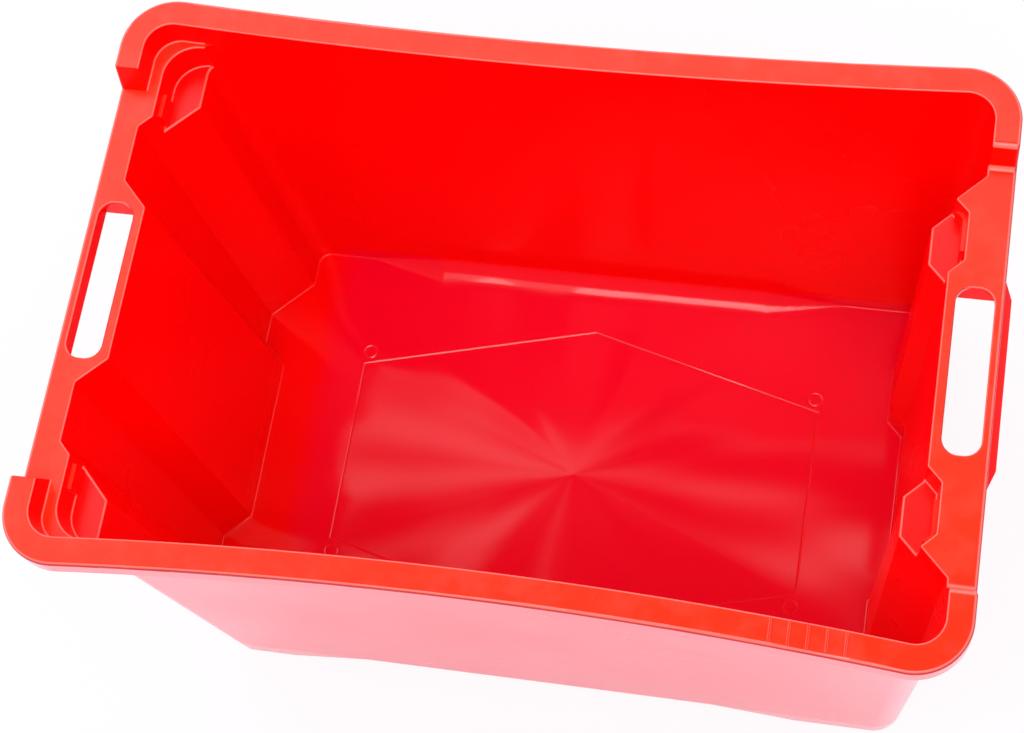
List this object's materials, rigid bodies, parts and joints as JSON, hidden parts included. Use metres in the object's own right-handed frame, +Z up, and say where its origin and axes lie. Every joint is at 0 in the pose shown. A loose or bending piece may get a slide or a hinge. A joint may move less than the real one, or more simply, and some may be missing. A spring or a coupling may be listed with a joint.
{
  "type": "storage crate",
  "caption": "Open stack-and-nest harvest crate of glossy plastic: tapered walls, folded ends, raised rim corners, lowered end rails with hand slots, and ledges that seat a turned crate.",
  "frame": {"origin": "centre of the footprint, on the surface that the crate stands on", "axes": "+X along the length towards the end with the pocket seats, +Y from the front to the rear long side, +Z up"},
  "size_m": [0.61, 0.3978, 0.3409],
  "materials": {
    "crate_plastic": "smooth glossy red injection-moulded polyolefin"
  },
  "bodies": {
    "root": {"floor": "crate_plastic", "left_foot": "crate_plastic", "right_foot": "crate_plastic", "front_wall": "crate_plastic", "rear_wall": "crate_plastic", "left_end_wall": "crate_plastic", "right_end_wall": "crate_plastic", "front_left_post": "crate_plastic", "rear_left_post": "crate_plastic", "front_right_post": "crate_plastic", "rear_right_post": "crate_plastic", "front_rim": "crate_plastic", "rear_rim": "crate_plastic", "front_left_corner": "crate_plastic", "rear_left_corner": "crate_plastic", "front_right_corner": "crate_plastic", "rear_right_corner": "crate_plastic", "left_rail": "crate_plastic", "right_rail": "crate_plastic", "left_grip": "crate_plastic", "right_grip": "crate_plastic", "front_left_seat": "crate_plastic", "rear_left_seat": "crate_plastic", "front_right_seat": "crate_plastic", "rear_right_seat": "crate_plastic", "stop_nubs": "crate_plastic", "index_ribs": "crate_plastic"}
  },
  "joints": []
}
